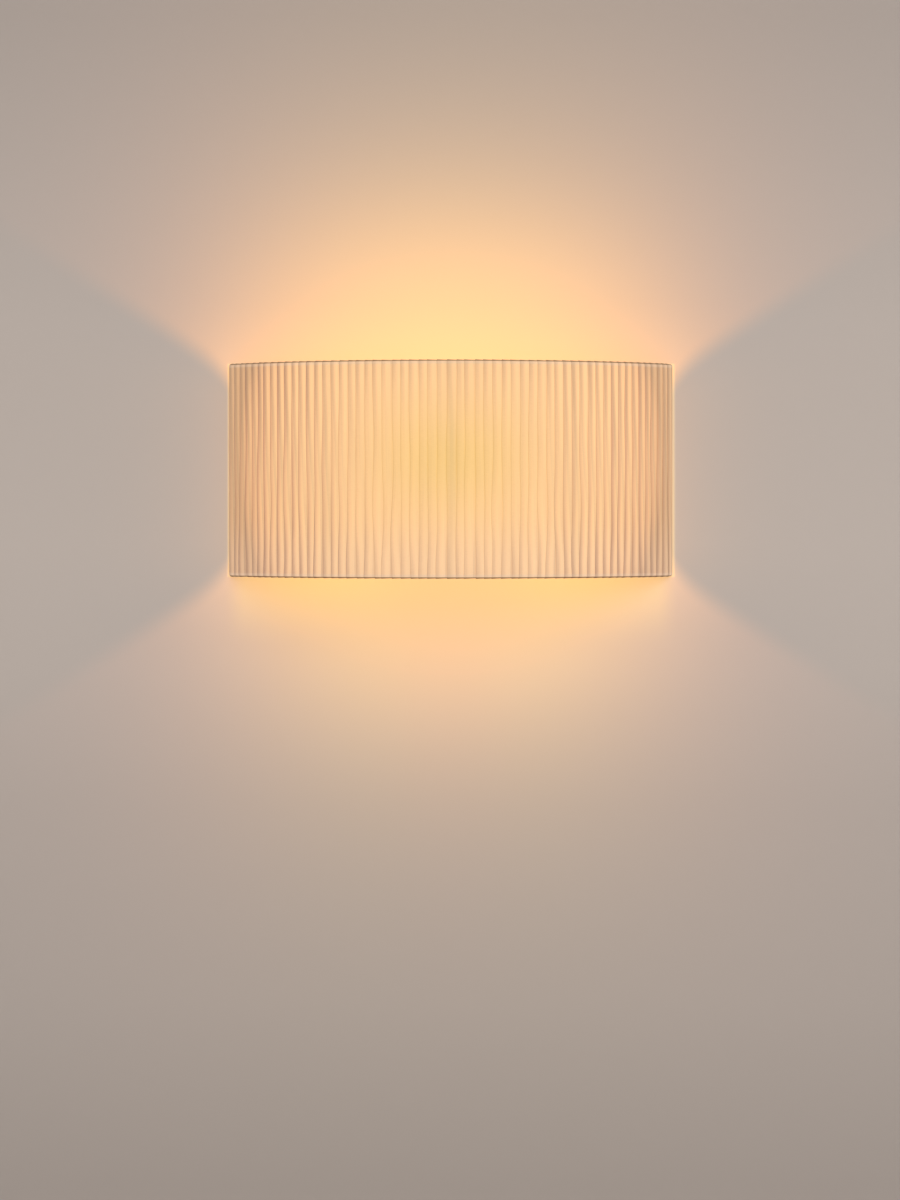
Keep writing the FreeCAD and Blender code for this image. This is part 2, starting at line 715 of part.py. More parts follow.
def build():
    rings = [rim_wire(1), rim_wire(-1)]
    strut_angles = [strut_end_angle * (2 * n / strut_bays - 1) for n in range(strut_bays + 1)]
    struts = [strut(angle, rings) for angle in strut_angles]
    parts = {
        "ribbon_shade": ribbon_shade(),
        "top_rim_wire": rings[0],
        "bottom_rim_wire": rings[1],
        "left_end_strut": struts[0],
        "left_strut": struts[1],
        "centre_strut": struts[2],
        "right_strut": struts[3],
        "right_end_strut": struts[4],
        "top_back_wire": back_wire(1),
        "bottom_back_wire": back_wire(-1),
        "bumper_sleeves": bumper_sleeves(),
        "wall_bracket": wall_bracket(),
        "canopy": canopy(),
        "canopy_screws": canopy_screws(),
        "cable_bush": cable_bush(),
        "outlet_grommet": outlet_grommet(),
        "terminal_block": terminal_block(),
        "terminal_sleeves": terminal_sleeves(),
        "terminal_screws": terminal_screws(),
        "block_screws": block_screws(),
        "earth_washer": earth_washer(),
        "earth_lug": earth_lug(),
        "earth_screw": earth_screw(),
        "earth_wire": earth_wire(),
        "live_wire": lamp_wire(pole_xs[0], -1),
        "neutral_wire": lamp_wire(pole_xs[1], 1),
        "lamp_arm": lamp_arm(),
        "arm_rivets": arm_rivets(),
        "stem": stem(),
        "stem_washer": stem_washer(),
        "stem_nut": stem_nut(),
        "holder_base": holder_base(),
        "holder_insert": holder_insert(),
        "holder_shell": holder_shell(),
        "screw_shell": screw_shell(),
        "centre_contact": centre_contact(),
        "bulb_globe": bulb_globe(),
        "bulb_cap": bulb_cap(),
        "cap_insulator": cap_insulator(),
        "cap_contact": cap_contact(),
    }
    os.makedirs("parts", exist_ok=True)
    for name, shape in parts.items():
        if isinstance(shape, list):
            shape = Part.makeCompound(shape)
        if not shape.isValid():
            print("not valid:", name)
        shape.exportStep("parts/" + name + ".step")
    print(len(parts), "nodes")


build()
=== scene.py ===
import math
import random
import bpy
import bmesh
from mathutils import Matrix, Vector, noise


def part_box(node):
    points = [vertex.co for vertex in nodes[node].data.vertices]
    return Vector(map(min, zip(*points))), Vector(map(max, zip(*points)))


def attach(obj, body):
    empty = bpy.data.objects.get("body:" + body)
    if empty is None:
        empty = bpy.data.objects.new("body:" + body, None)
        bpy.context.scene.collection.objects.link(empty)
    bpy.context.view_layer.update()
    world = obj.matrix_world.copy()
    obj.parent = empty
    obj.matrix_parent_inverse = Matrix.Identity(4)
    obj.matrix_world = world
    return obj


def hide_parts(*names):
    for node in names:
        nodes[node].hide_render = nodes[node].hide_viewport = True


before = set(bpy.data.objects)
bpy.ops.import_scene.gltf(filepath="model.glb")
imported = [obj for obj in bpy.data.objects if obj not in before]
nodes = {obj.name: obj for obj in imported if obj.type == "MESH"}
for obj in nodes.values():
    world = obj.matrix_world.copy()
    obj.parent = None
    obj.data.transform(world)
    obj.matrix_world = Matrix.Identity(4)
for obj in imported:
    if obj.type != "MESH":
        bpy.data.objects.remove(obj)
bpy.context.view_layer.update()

print("frame loaded,", len(nodes), "nodes")


# general helpers

def addObject(name, data):
    made = bpy.data.objects.new(name, data)
    bpy.context.scene.collection.objects.link(made)
    return made


def meshFrom(bm, name):
    mesh = bpy.data.meshes.new(name)
    bm.to_mesh(mesh)
    bm.free()
    return mesh


def middleOf(node):
    low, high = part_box(node)
    return (low + high) / 2.0


# camera: level, straight on, a little under the shade's middle

cameraView = {
    "distance": 2.9,        # from the front of the shade
    "height": -0.032,
    "pictureWidth": 0.708,  # seen at the front of the shade
    "shift": (-0.0013, -0.1003),
}


def addCamera(v):
    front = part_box("ribbon_shade")[0].y
    data = bpy.data.cameras.new("photoCamera")
    data.sensor_fit = "HORIZONTAL"
    data.sensor_width = 36.0
    data.lens = 36.0 * v["distance"] / v["pictureWidth"]
    data.shift_x, data.shift_y = v["shift"]
    data.clip_end = 50.0
    camera = addObject("photoCamera", data)
    camera.location = (0.0, front - v["distance"], v["height"])
    camera.rotation_euler = (math.radians(90.0), 0.0, 0.0)
    bpy.context.scene.camera = camera


addCamera(cameraView)
print("camera placed")


# shader helpers

def feed(tree, node, values):
    for key, value in values.items():
        if isinstance(value, bpy.types.NodeSocket):
            tree.links.new(value, node.inputs[key])
        else:
            node.inputs[key].default_value = value


def addNode(tree, kind, values=None, **settings):
    made = tree.nodes.new("ShaderNode" + kind)
    for name, value in settings.items():
        setattr(made, name, value)
    feed(tree, made, values or {})
    return made


def calc(tree, operation, *terms, clamp=False):
    values = {i: term for i, term in enumerate(terms)}
    return addNode(tree, "Math", values, operation=operation, use_clamp=clamp).outputs[0]


def mixColours(tree, share, first, second, blend="MIX"):
    values = {0: share, 6: first, 7: second}
    return addNode(tree, "Mix", values, data_type="RGBA", blend_type=blend).outputs[2]


def ramp(tree, value, stops, smooth="LINEAR"):
    made = addNode(tree, "ValToRGB", {0: value})
    made.color_ramp.interpolation = smooth
    points = made.color_ramp.elements
    while len(points) < len(stops):
        points.new(0.5)
    for point, (place, level) in zip(points, stops):
        point.position = place
        point.color = (*level, 1.0) if isinstance(level, tuple) else (level, level, level, 1.0)
    return made.outputs[0]


def smoothStep(tree, value, low, high, start=0.0, end=1.0):
    values = {0: value, 1: low, 2: high, 3: start, 4: end}
    return addNode(tree, "MapRange", values, interpolation_type="SMOOTHSTEP").outputs[0]


def bell(tree, value, width):
    share = calc(tree, "POWER", calc(tree, "ABSOLUTE", calc(tree, "DIVIDE", value, width)), 2.0)
    return calc(tree, "EXPONENT", calc(tree, "MULTIPLY", share, -1.0))


def newMaterial(name):
    made = bpy.data.materials.new(name)
    made.use_nodes = True
    tree = made.node_tree
    tree.nodes.clear()
    return made, tree


def finishWith(tree, shader):
    addNode(tree, "OutputMaterial", {"Surface": shader})


def newGroup(name, inputs, outputs):
    group = bpy.data.node_groups.new(name, "ShaderNodeTree")
    for label, kind, value in inputs:
        socket = group.interface.new_socket(label, in_out="INPUT", socket_type="NodeSocket" + kind)
        if value is not None:
            socket.default_value = value
    for label, kind in outputs:
        group.interface.new_socket(label, in_out="OUTPUT", socket_type="NodeSocket" + kind)
    given = group.nodes.new("NodeGroupInput").outputs
    taken = group.nodes.new("NodeGroupOutput").inputs
    return group, given, taken


def useGroup(tree, group, values):
    made = tree.nodes.new("ShaderNodeGroup")
    made.node_tree = group
    feed(tree, made, values)
    return made.outputs


# shared effects

def buildGrain():
    group, given, taken = newGroup(
        "surfaceGrain",
        [("Place", "Vector", None), ("Scale", "Float", 900.0), ("Mottle", "Float", 60.0)],
        [("Height", "Float"), ("Patches", "Float")])
    fine = addNode(group, "TexNoise", {"Vector": given["Place"], "Scale": given["Scale"], "Detail": 3.0})
    broad = addNode(group, "TexNoise", {"Vector": given["Place"], "Scale": given["Mottle"], "Detail": 4.0,
                                        "Roughness": 0.6})
    group.links.new(fine.outputs[0], taken["Height"])
    group.links.new(smoothStep(group, broad.outputs[0], 0.3, 0.7), taken["Patches"])
    return group


def buildBrushing():
    group, given, taken = newGroup(
        "brushedLines",
        [("Place", "Vector", None), ("Stretch", "Vector", (60.0, 60.0, 4000.0))],
        [("Height", "Float")])
    along = addNode(group, "VectorMath", {0: given["Place"], 1: given["Stretch"]}, operation="MULTIPLY")
    lines = addNode(group, "TexNoise", {"Vector": along.outputs[0], "Scale": 1.0, "Detail": 2.0})
    group.links.new(lines.outputs[0], taken["Height"])
    return group


def buildWeave():
    group, given, taken = newGroup(
        "ribbonWeave",
        [("Map", "Vector", None), ("Threads", "Float", 1600.0)],
        [("Height", "Float"), ("Slub", "Float"), ("Streaks", "Float")])
    parts = addNode(group, "SeparateXYZ", {0: given["Map"]})
    turn = calc(group, "MULTIPLY", given["Threads"], 2.0 * math.pi)
    warp = calc(group, "SINE", calc(group, "MULTIPLY", parts.outputs[0], turn))
    weft = calc(group, "SINE", calc(group, "MULTIPLY", parts.outputs[1], turn))
    cross = calc(group, "MULTIPLY", warp, weft)
    group.links.new(calc(group, "MULTIPLY_ADD", cross, 0.5, 0.5), taken["Height"])
    # thicker threads across the ribbon, and looser and tighter ones along it
    stretches = {"Slub": (240.0, 2600.0, 0.0), "Streaks": (1100.0, 16.0, 0.0)}
    for label, stretch in stretches.items():
        stretched = addNode(group, "VectorMath", {0: given["Map"], 1: stretch}, operation="MULTIPLY")
        threads = addNode(group, "TexNoise", {"Vector": stretched.outputs[0], "Scale": 1.0, "Detail": 2.0})
        group.links.new(threads.outputs[0], taken[label])
    return group


grainGroup = buildGrain()
brushGroup = buildBrushing()
weaveGroup = buildWeave()
print("shared effects built")


# finishes of the carried-over pieces

def plainFinish(name, v):
    made, tree = newMaterial(name)
    place = addNode(tree, "TexCoord").outputs["Object"]
    grain = useGroup(tree, grainGroup, {"Place": place, "Scale": v.get("grain", 900.0),
                                        "Mottle": v.get("mottle", 60.0)})
    height = grain["Height"]
    if "stretch" in v:
        height = useGroup(tree, brushGroup, {"Place": place, "Stretch": v["stretch"]})["Height"]
    patches = grain["Patches"]
    if "spangle" in v:      # crystals of hot-dipped zinc, each with its own tone
        cells = addNode(tree, "TexVoronoi", {"Vector": place, "Scale": v["spangle"]}).outputs["Color"]
        tone = addNode(tree, "SeparateColor", {0: cells}).outputs[0]
        patches = calc(tree, "MULTIPLY_ADD", tone, 0.6, calc(tree, "MULTIPLY", patches, 0.4))
    base = v["colour"]
    aged = tuple(c * v.get("aged", 0.93) for c in base)
    colour = mixColours(tree, patches, (*base, 1.0), (*aged, 1.0))
    rough = smoothStep(tree, patches, 0.0, 1.0, v["rough"], v["rough"] * v.get("roughShift", 1.2))
    bump = addNode(tree, "Bump", {"Strength": v.get("bump", 0.2), "Distance": v.get("depth", 0.00004),
                                  "Height": height})
    values = {"Base Color": colour, "Roughness": rough, "Metallic": v.get("metal", 0.0),
              "Normal": bump.outputs[0]}
    if "coat" in v:
        values["Coat Weight"] = v["coat"]
        values["Coat Roughness"] = 0.15
    shader = addNode(tree, "BsdfPrincipled", values)
    finishWith(tree, shader.outputs[0])
    return made


finishes = {
    "whitePaint": {"colour": (0.78, 0.765, 0.73), "rough": 0.42, "grain": 700.0, "bump": 0.25,
                   "depth": 0.00008, "aged": 0.975},
    "coatedWire": {"colour": (0.78, 0.76, 0.71), "rough": 0.36, "grain": 1500.0, "bump": 0.12},
    "zincSheet": {"colour": (0.62, 0.63, 0.64), "rough": 0.30, "metal": 1.0, "mottle": 140.0, "aged": 0.80,
                  "roughShift": 1.5, "spangle": 230.0, "stretch": (900.0, 60.0, 60.0), "bump": 0.12},
    "platedScrew": {"colour": (0.66, 0.66, 0.65), "rough": 0.26, "metal": 1.0, "mottle": 300.0, "aged": 0.85},
    "brassPart": {"colour": (0.72, 0.55, 0.26), "rough": 0.28, "metal": 1.0, "mottle": 220.0, "aged": 0.8},
    "whiteMoulding": {"colour": (0.80, 0.79, 0.755), "rough": 0.38, "grain": 1400.0, "bump": 0.1,
                      "aged": 0.97},
    "heatMoulding": {"colour": (0.74, 0.71, 0.64), "rough": 0.5, "grain": 1800.0, "bump": 0.3, "aged": 0.92},
    "nylonBlock": {"colour": (0.76, 0.77, 0.74), "rough": 0.45, "grain": 1100.0, "bump": 0.1, "aged": 0.95},
    "softRubber": {"colour": (0.70, 0.69, 0.655), "rough": 0.66, "grain": 2000.0, "bump": 0.25, "aged": 0.9},
    "brownWire": {"colour": (0.17, 0.075, 0.03), "rough": 0.4, "grain": 1600.0, "aged": 0.8},
    "blueWire": {"colour": (0.03, 0.13, 0.42), "rough": 0.4, "grain": 1600.0, "aged": 0.8},
    "capMetal": {"colour": (0.78, 0.77, 0.74), "rough": 0.24, "metal": 1.0, "mottle": 260.0, "aged": 0.86,
                 "stretch": (60.0, 60.0, 3000.0), "bump": 0.1},
    "blackGlass": {"colour": (0.012, 0.012, 0.014), "rough": 0.12, "grain": 500.0, "bump": 0.05,
                   "coat": 1.0},
    "solderTip": {"colour": (0.62, 0.61, 0.59), "rough": 0.32, "metal": 1.0, "mottle": 500.0, "aged": 0.75,
                  "grain": 1200.0, "bump": 0.5},
}
materials = {name: plainFinish(name, values) for name, values in finishes.items()}


earthStripe = {
    "green": (0.05, 0.26, 0.05),
    "yellow": (0.78, 0.60, 0.04),
    "side": (0.45, -0.75, 0.45),    # the way that the yellow side faces
    "reach": 0.25,
}


def earthFinish(v):
    made, tree = newMaterial("earthWire")
    geometry = addNode(tree, "NewGeometry")
    side = addNode(tree, "VectorMath", {0: geometry.outputs["Normal"], 1: v["side"]}, operation="DOT_PRODUCT")
    place = addNode(tree, "TexCoord").outputs["Object"]
    grain = useGroup(tree, grainGroup, {"Place": place, "Scale": 1600.0, "Mottle": 300.0})
    stripe = calc(tree, "GREATER_THAN", side.outputs["Value"], v["reach"])
    colour = mixColours(tree, stripe, (*v["green"], 1.0), (*v["yellow"], 1.0))
    bump = addNode(tree, "Bump", {"Strength": 0.15, "Distance": 0.00004, "Height": grain["Height"]})
    values = {"Base Color": colour, "Roughness": 0.4, "Normal": bump.outputs[0]}
    finishWith(tree, addNode(tree, "BsdfPrincipled", values).outputs[0])
    return made


lampGlass = {"colour": (0.55, 0.52, 0.47), "light": (1.0, 0.80, 0.54), "strength": 0.85}


def glassFinish(v):
    made, tree = newMaterial("litGlass")
    place = addNode(tree, "TexCoord").outputs["Object"]
    grain = useGroup(tree, grainGroup, {"Place": place, "Scale": 1200.0, "Mottle": 90.0})
    light = mixColours(tree, grain["Patches"], (*v["light"], 1.0), (*(c * 0.96 for c in v["light"]), 1.0))
    bump = addNode(tree, "Bump", {"Strength": 0.1, "Distance": 0.00003, "Height": grain["Height"]})
    shader = addNode(tree, "BsdfPrincipled", {
        "Base Color": (*v["colour"], 1.0), "Roughness": 0.35, "Coat Weight": 0.5, "Coat Roughness": 0.2,
        "Emission Color": light, "Emission Strength": v["strength"], "Normal": bump.outputs[0]})
    finishWith(tree, shader.outputs[0])
    return made


materials["earthWire"] = earthFinish(earthStripe)
materials["litGlass"] = glassFinish(lampGlass)

wearing = {
    "whitePaint": ["canopy", "lamp_arm"],
    "coatedWire": ["top_rim_wire", "bottom_rim_wire", "left_end_strut", "left_strut", "centre_strut",
                   "right_strut", "right_end_strut", "top_back_wire", "bottom_back_wire"],
    "zincSheet": ["wall_bracket"],
    "platedScrew": ["canopy_screws", "terminal_screws", "block_screws", "earth_washer", "earth_screw",
                    "arm_rivets", "stem_washer"],
    "brassPart": ["terminal_sleeves", "earth_lug", "stem", "stem_nut", "screw_shell", "centre_contact"],
    "whiteMoulding": ["holder_base", "holder_shell"],
    "heatMoulding": ["holder_insert"],
    "nylonBlock": ["terminal_block"],
    "softRubber": ["cable_bush", "outlet_grommet", "bumper_sleeves"],
    "brownWire": ["live_wire"],
    "blueWire": ["neutral_wire"],
    "earthWire": ["earth_wire"],
    "litGlass": ["bulb_globe"],
    "capMetal": ["bulb_cap"],
    "blackGlass": ["cap_insulator"],
    "solderTip": ["cap_contact"],
}
for name, worn in wearing.items():
    for piece in worn:
        nodes[piece].data.materials.clear()
        nodes[piece].data.materials.append(materials[name])
print("finishes given to the carried-over pieces")


# wound ribbon

ribbonForm = {
    "turns": 57,
    "overlap": 0.4,             # of a turn's pitch, under the next turn
    "thick": 0.0002,
    "crest": 0.00215,           # ribbon's left edge, from the wire's middle
    "rise": 0.00034,            # over one pitch
    "innerEdge": 0.0041,        # inner runs end this far from the wall, clear of the back wires
    "across": 8,
    "outerCuts": 18,
    "innerCuts": 10,
    "wrapCuts": 6,
    "lean": 0.16,               # of a pitch
    "wander": 0.14,
    "shift": 0.07,
    "loose": 0.00004,
    "seed": 11,
}


def measureShade(hem):
    # the arc of the rim wires' middles, about an upright axis behind the wall
    low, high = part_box("ribbon_shade")
    depth = round(-low.y, 5)        # its flats fall a hair short of the true arc
    sagitta = depth + high.y        # from the back edges to the front
    crest = (high.x ** 2 + sagitta ** 2) / (2.0 * sagitta)
    return {
        "ringRadius": crest - hem,
        "axisOut": depth - crest,   # as a distance from the wall
        "ringHeight": high.z - hem,
        "endAngle": math.asin(high.x / crest),
        "wallGap": -high.y,
    }


shadeShape = measureShade(ribbonForm["crest"])


def ribbonStations(v, shape):
    # one turn as (angle round the wire, height, share of the slant to the next turn)
    high = shape["ringHeight"]
    half = math.pi / v["wrapCuts"]
    stations = [(math.pi + half * i, -high, 0.0) for i in range(v["wrapCuts"])]
    stations += [(0.0, high * (2.0 * i / v["outerCuts"] - 1.0), 0.0) for i in range(v["outerCuts"])]
    stations += [(half * i, high, 0.0) for i in range(v["wrapCuts"])]
    stations += [(math.pi, high * (1.0 - 2.0 * i / v["innerCuts"]), i / v["innerCuts"])
                 for i in range(v["innerCuts"])]
    return stations


def windRibbon(v, shape):
    stations = ribbonStations(v, shape)
    perTurn = len(stations)
    rows = v["turns"] * perTurn
    step = 2.0 * shape["endAngle"] / v["turns"]
    width = 1.0 + v["overlap"]
    rng = random.Random(v["seed"])
    leans = [rng.uniform(-1.0, 1.0) * v["lean"] for _ in range(v["turns"] + 1)]
    shifts = [rng.uniform(-1.0, 1.0) * v["shift"] for _ in range(v["turns"] + 1)]
    lifts = [rng.uniform(-v["loose"], v["loose"]) for _ in range(v["turns"] + 1)]
    shifts[0] = leans[0] = 0.0
    bm = bmesh.new()
    uvLayer = bm.loops.layers.uv.new("ribbonMap")
    turnLayer = bm.loops.layers.uv.new("turnMap")
    bmesh.ops.create_grid(bm, x_segments=v["across"], y_segments=rows, size=0.5)
    pitch = step * shape["ringRadius"]
    mapPlace = {}
    for vert in bm.verts:
        across = vert.co.x + 0.5
        row = min(rows, round((vert.co.y + 0.5) * rows))
        turn, station = divmod(row, perTurn)
        if turn == v["turns"]:
            turn, station = turn - 1, perTurn
        angle, high, slant = (math.pi, -shape["ringHeight"], 1.0) if station == perTurn else stations[station]
        if turn == v["turns"] - 1:
            slant = 0.0
        level = high / shape["ringHeight"]
        strays = []
        for n in (turn, turn + 1):
            wave = noise.noise(Vector((n * 3.7, level * 1.6, 0.0))) * v["wander"] * (1.4 - level)
            strays.append(shifts[n] + leans[n] * level * 0.5 + wave * min(n, 1))
        left = turn + slant + strays[0] * (1.0 - slant) + strays[1] * slant
        d = v["crest"] + lifts[turn] - v["rise"] * across * width
        radius = shape["ringRadius"] + d * math.cos(angle)
        z = high + d * math.sin(angle)
        inward = 0.5 - 0.5 * math.cos(angle)
        limitOut = shape["wallGap"] + (v["innerEdge"] - shape["wallGap"]) * inward ** 3
        limit = math.acos((limitOut - shape["axisOut"]) / radius)
        first = max(left * step - shape["endAngle"], -limit)
        last = min((left + width) * step - shape["endAngle"], limit)
        round_ = first + (last - first) * across
        vert.co = (radius * math.sin(round_), -(shape["axisOut"] + radius * math.cos(round_)), z)
        mapPlace[vert] = (across * width * pitch, row, across, inward)
    alongStep = 4.0 * shape["ringHeight"] / perTurn
    for face in bm.faces:
        for loop in face.loops:
            x, row, across, inward = mapPlace[loop.vert]
            loop[uvLayer].uv = (x, row * alongStep)
            loop[turnLayer].uv = (across * width / 2.0, inward)
    bm.normal_update()
    mesh = meshFrom(bm, "woundRibbon")
    mesh.shade_smooth()
    piece = addObject("woundRibbon", mesh)
    wall = piece.modifiers.new("thickness", "SOLIDIFY")
    wall.thickness = v["thick"]
    wall.offset = -1.0
    return piece


# painted glow: emission on the cloth that stands in for the bulb's light shining through it, with painted
# shade from overlaps, struts and wires
ribbonCloth = {
    "single": (0.50, 0.405, 0.285),
    # painted shade: a darker base colour where two layers overlap
    "doubleShaded": (0.455, 0.36, 0.245),
    "through": 0.35,
    "ends": (0.380, 0.196, 0.081),      # painted glow at the shade's ends
    "gain": (0.229, 0.157, 0.066),      # more of it at the middle
    "hotLoss": (0.068, 0.022, 0.078),   # less of it where the bulb is nearest
    "overlap": (0.58, 0.42, 0.52),      # painted shade: share of the glow through two layers
    "hem": (0.43, 0.32, 0.26),          # painted glow along the rims, where the wires lie behind the cloth: a paler and greyer band
    "crease": (0.30, 0.20, 0.07),       # painted shadow: share of the glow in the line where the ribbon turns over
    "low": (0.42, 0.31, 0.26),          # painted glow, paler and greyer lower down
    # painted glow on the inner runs
    "inside": (0.62, 0.42, 0.21),
    # painted shadows of these struts on the glow
    "struts": ["centre_strut", "right_strut", "right_end_strut"],
    "strutHalf": 0.0026,
    "strutStops": 0.10,
    "bulbHigh": 0.008,
    "reach": 0.172,
    "upShare": 0.72,                    # the glow reaches further up and down than along
    "sharpness": (9.0, 6.2, 6.2),       # how late each colour falls off
    "hotSpread": (300.0, 600.0),        # along and up
    "lowBand": (-0.03, -0.085),
    "calmBand": (0.045, 0.135),         # along
    "calmRise": (0.03, 0.09),           # up and down from calmHigh
    "calmHigh": 0.004,
    "calm": (0.92, 0.60),               # at that height, and at the rims
    "calmLevel": 0.95,
    # painted shade along the top of the glow
    "topBand": (0.068, 0.084),
    "topShade": 0.95,
    "hemBand": (-0.0018, -0.0008),      # from the wire's middle
    "creaseBand": (0.0006, 0.0012),
    # painted shadow that darkens the base colour in that line
    "creaseShade": (0.6, 0.5, 0.42),
    "strength": 1.5,
    "turnStops": [(0.0, 0.0), (0.03, 0.14), (0.12, 0.32), (0.20, 0.62), (0.33, 1.0), (0.44, 0.94),
                  (0.48, 1.0), (0.5, 0.55)],        # across an outer run, from its left edge
    "behindStops": [(0.0, 0.82), (0.08, 0.76), (0.33, 0.82), (0.45, 1.0), (0.6, 1.03), (0.9, 1.0),
                    (1.0, 0.92)],       # and across an inner run
    "unevenLayers": (0.5, 0.72),        # the rest are pairs of a gain and a base
    "unevenShade": (-0.07, 1.05),
    "calmShade": (-0.05, 1.0),
    "slubShade": (0.08, 0.96),
    "slubTone": (0.12, 0.94),
    "streakShade": (0.18, 0.91),
    "insideFall": (1.5, 1.0),
    "insideTurns": (0.22, 0.78),
    "insideStreaks": (0.3, 0.85),
}


def buildOverlaps(v, shape):
    # 0 where two layers lie on each other, 1 where there is one
    group, given, taken = newGroup(
        "ribbonOverlaps",
        [("Phase", "Float", 0.0), ("Place", "Vector", None)],
        [("Outer", "Float"), ("Behind", "Float"), ("Uneven", "Float")])
    phase = given["Phase"]          # 0 at the turn's left edge, 0.5 a pitch further right
    outer = ramp(group, phase, v["turnStops"])
    # the inner runs slant by one turn, so their overlaps cross behind the outer ones, as painted shade on the
    # glow
    z = addNode(group, "SeparateXYZ", {0: given["Place"]}).outputs[2]
    slant = calc(group, "MULTIPLY_ADD", z, -0.5 / shape["ringHeight"], 0.5)
    innerPhase = calc(group, "FRACT", calc(group, "SUBTRACT", calc(group, "MULTIPLY", phase, 2.0), slant))
    behind = ramp(group, innerPhase, v["behindStops"], "EASE")
    # turns differ in how tightly they lie
    stretched = addNode(group, "VectorMath", {0: given["Place"], 1: (150.0, 150.0, 7.0)},
                        operation="MULTIPLY")
    uneven = addNode(group, "TexNoise", {"Vector": stretched.outputs[0], "Scale": 1.0, "Detail": 2.0,
                                         "Roughness": 0.6})
    group.links.new(outer, taken["Outer"])
    group.links.new(behind, taken["Behind"])
    group.links.new(smoothStep(group, uneven.outputs[0], 0.3, 0.7), taken["Uneven"])
    return group


def ribbonFinish(v, shape):
    made, tree = newMaterial("litRibbon")
    place = addNode(tree, "TexCoord").outputs["Object"]
    x, y, z = addNode(tree, "SeparateXYZ", {0: place}).outputs
    ribbonMap = addNode(tree, "UVMap", uv_map="ribbonMap").outputs[0]
    turnMap = addNode(tree, "UVMap", uv_map="turnMap").outputs[0]
    phase, inner, _ = addNode(tree, "SeparateXYZ", {0: turnMap}).outputs
    weave = useGroup(tree, weaveGroup, {"Map": ribbonMap, "Threads": 1600.0})
    layers = useGroup(tree, buildOverlaps(v, shape), {"Phase": phase, "Place": place})
    black, white = (0.0, 0.0, 0.0, 1.0), (1.0, 1.0, 1.0, 1.0)

    # painted glow of the bulb through the cloth, by distance from the bulb, along the shade and up it
    along = calc(tree, "ABSOLUTE", x)
    across = calc(tree, "POWER", along, 2.0)
    high = calc(tree, "POWER", calc(tree, "ABSOLUTE", calc(tree, "SUBTRACT", z, v["bulbHigh"])), 2.0)
    away = calc(tree, "DIVIDE", calc(tree, "MULTIPLY_ADD", high, v["upShare"], across), v["reach"] ** 2)
    fades = {}
    for i, sharp in enumerate(v["sharpness"]):
        fades[i] = calc(tree, "SUBTRACT", 1.0, calc(tree, "POWER", away, sharp), clamp=True)
    fade = addNode(tree, "CombineColor", fades).outputs[0]
    hotAlong, hotUp = v["hotSpread"]
    hot = calc(tree, "MULTIPLY_ADD", across, -hotAlong, calc(tree, "MULTIPLY", high, -hotUp))
    hotColour = [end + gain - loss for end, gain, loss in zip(v["ends"], v["gain"], v["hotLoss"])]
    glow = mixColours(tree, 1.0, fade, (*v["gain"], 1.0), "MULTIPLY")
    glow = mixColours(tree, 1.0, glow, (*v["ends"], 1.0), "ADD")
    glow = mixColours(tree, calc(tree, "EXPONENT", hot), glow, (*hotColour, 1.0))
    low = smoothStep(tree, z, *v["lowBand"], 0.0, 0.3)
    glow = mixColours(tree, low, glow, (*v["low"], 1.0))

    # the painted shade of the turns shows least in front of the bulb, where the light is strongest
    middle = smoothStep(tree, along, *v["calmBand"], 1.0, 0.0)
    rise = calc(tree, "ABSOLUTE", calc(tree, "SUBTRACT", z, v["calmHigh"]))
    calm = calc(tree, "MULTIPLY", middle, smoothStep(tree, rise, *v["calmRise"], *v["calm"]))
    two = calc(tree, "SUBTRACT", 1.0, layers["Outer"])
    two = calc(tree, "MULTIPLY", two, calc(tree, "MULTIPLY_ADD", layers["Uneven"], *v["unevenLayers"]))
    two = calc(tree, "MULTIPLY", two, calc(tree, "SUBTRACT", 1.0, calm), clamp=True)
    glow = mixColours(tree, 1.0, glow, mixColours(tree, two, white, (*v["overlap"], 1.0)), "MULTIPLY")
    missing = calc(tree, "SUBTRACT", v["calmLevel"], layers["Behind"])
    behind = calc(tree, "MULTIPLY_ADD", calm, missing, layers["Behind"])
    shadow = calc(tree, "MULTIPLY", behind, calc(tree, "MULTIPLY_ADD", layers["Uneven"], *v["unevenShade"]))
    shadow = calc(tree, "MULTIPLY", shadow, calc(tree, "MULTIPLY_ADD", calm, *v["calmShade"]))
    # painted shade, a little darker near the top
    shadow = calc(tree, "MULTIPLY", shadow, smoothStep(tree, z, *v["topBand"], 1.0, v["topShade"]))

    # painted shadows: the struts stop some light, and the rim wires nearly all
    for strut in v["struts"]:
        line = bell(tree, calc(tree, "SUBTRACT", along, middleOf(strut).x), v["strutHalf"])
        shadow = calc(tree, "MULTIPLY", shadow, calc(tree, "MULTIPLY_ADD", line, -v["strutStops"], 1.0))
    edge = calc(tree, "SUBTRACT", calc(tree, "ABSOLUTE", z), shape["ringHeight"])
    hem = smoothStep(tree, edge, *v["hemBand"], 0.0, 0.45)
    glow = mixColours(tree, hem, glow, (*v["hem"], 1.0))
    # painted shadow in the line where the ribbon turns over the wire
    crease = calc(tree, "MULTIPLY", smoothStep(tree, edge, *v["creaseBand"]),
                  smoothStep(tree, inner, 0.3, 0.5, 1.0, 0.0))
    glow = mixColours(tree, crease, glow, mixColours(tree, 1.0, glow, (*v["crease"], 1.0), "MULTIPLY"))
    shadow = calc(tree, "MULTIPLY", shadow, calc(tree, "MULTIPLY_ADD", weave["Slub"], *v["slubShade"]))
    shadow = calc(tree, "MULTIPLY", shadow, calc(tree, "MULTIPLY_ADD", weave["Streaks"], *v["streakShade"]))
    light = mixColours(tree, shadow, black, glow)

